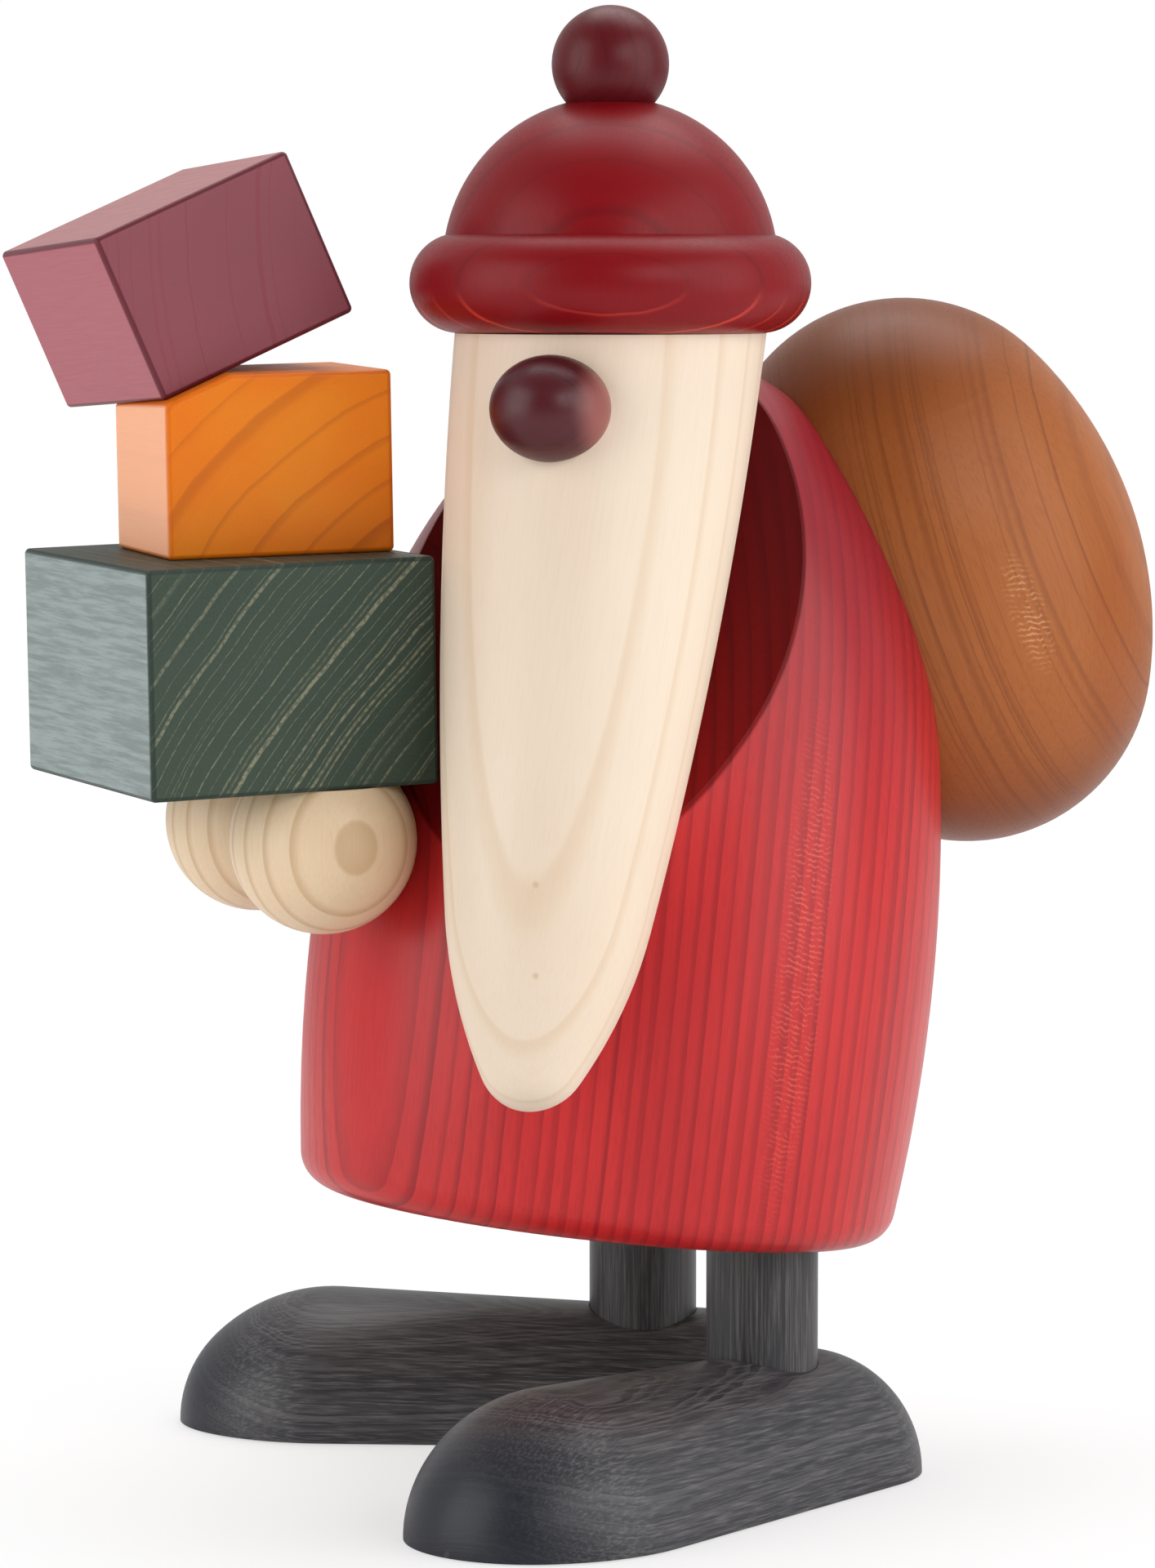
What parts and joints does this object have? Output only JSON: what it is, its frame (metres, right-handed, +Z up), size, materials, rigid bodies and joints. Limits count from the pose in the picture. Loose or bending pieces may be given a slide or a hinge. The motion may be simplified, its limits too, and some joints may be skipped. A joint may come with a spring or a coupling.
{
  "type": "german incense smoker",
  "caption": "Turned wooden incense smoker: a leaning hollow coat on two legs, with a bearded head under a rolled cap, a sack on the back and stacked presents on round hands.",
  "frame": {"origin": "on the floor under the middle of the figure's bounding box", "axes": "+Z up, -Y the way the presents point, +Y the way the sack points, +X the figure's left side; the face is turned from -Y towards +X"},
  "size_m": [0.1182, 0.1505, 0.1899],
  "materials": {
    "red_wood": "satin lacquer over transparent red stain, grain showing",
    "dark_red_wood": "satin lacquer over deep wine red stain",
    "brown_wood": "satin lacquer over honey brown stain",
    "cream_wood": "satin lacquer on pale natural wood",
    "hand_wood": "satin lacquer on natural wood with rings",
    "maroon_wood": "glossy lacquer over dark maroon stain",
    "green_wood": "satin lacquer over bottle green stain, light grain lines",
    "orange_wood": "satin lacquer over bright orange stain, banded grain",
    "rose_wood": "satin lacquer over old rose stain",
    "black_wood": "satin lacquer over charcoal stain with brown grain",
    "plain_wood": "sanded natural beech",
    "brass": "pressed brass, dull"
  },
  "bodies": {
    "base": {"left_shoe": "black_wood", "right_shoe": "black_wood", "left_leg": "black_wood", "right_leg": "black_wood", "base_plug": "plain_wood", "incense_tray": "brass", "tray_pin": "brass"},
    "figure": {"coat": "red_wood", "head": "cream_wood", "nose": "maroon_wood", "cap": "dark_red_wood", "bobble": "dark_red_wood", "left_hand": "hand_wood", "right_hand": "hand_wood", "green_present": "green_wood", "orange_present": "orange_wood", "red_present": "rose_wood", "sack": "brown_wood", "upper_head_dowel": "plain_wood", "lower_head_dowel": "plain_wood", "nose_dowel": "plain_wood", "cap_dowel": "plain_wood", "bobble_dowel": "plain_wood", "left_hand_dowel": "plain_wood", "right_hand_dowel": "plain_wood", "lower_present_dowel": "plain_wood", "upper_present_dowel": "plain_wood", "upper_sack_dowel": "plain_wood", "lower_sack_dowel": "plain_wood"}
  },
  "joints": [
    {"name": "coat_lift", "type": "slide", "parent": "base", "child": "figure", "axis": [0, 0.1167, 0.9932], "range_m": [0, 0.045]}
  ]
}
